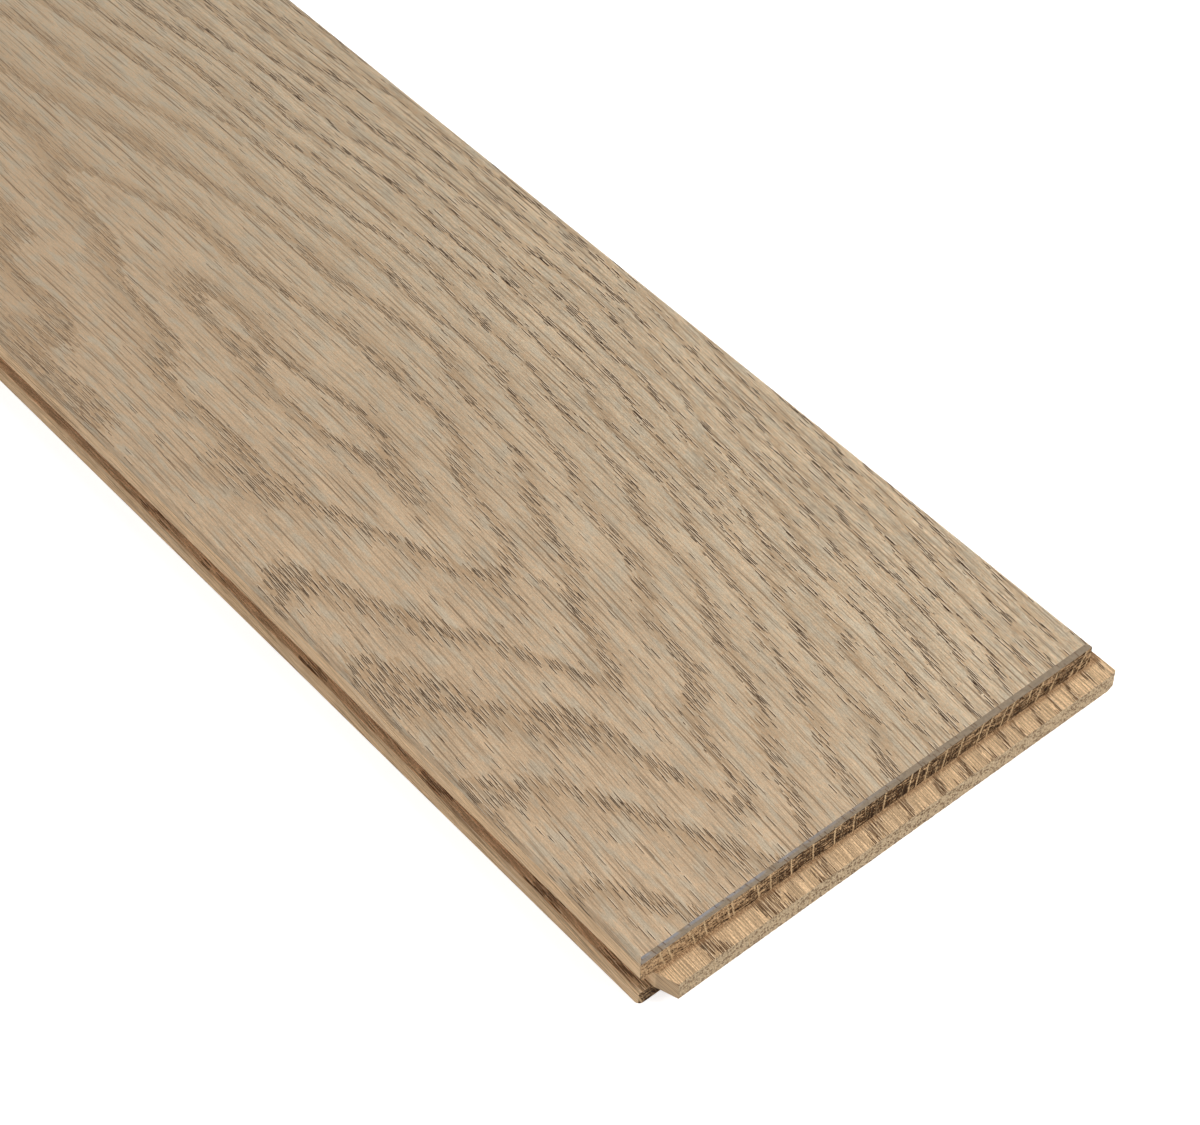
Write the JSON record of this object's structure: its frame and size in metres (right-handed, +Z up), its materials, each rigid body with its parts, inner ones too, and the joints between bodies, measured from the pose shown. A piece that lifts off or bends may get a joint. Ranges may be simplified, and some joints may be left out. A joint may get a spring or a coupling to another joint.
{
  "type": "solid hardwood floorboard",
  "caption": "Solid oak floorboard with bevelled edges, a tongue and a groove on its long sides, and a tongue and a groove across its ends.",
  "frame": {"origin": "middle of the underside, halfway between the two long walls and the two end walls of the face", "axes": "+X across the board towards the long tongue, +Y along the board from the end tongue to the end groove, +Z up out of the face"},
  "size_m": [0.1534, 0.9064, 0.018],
  "materials": {
    "brushed_oak": "matt lacquer on brushed and greyed oak on the face and bevels, bare planed and milled oak elsewhere"
  },
  "bodies": {
    "root": {"floorboard": "brushed_oak"}
  },
  "joints": []
}
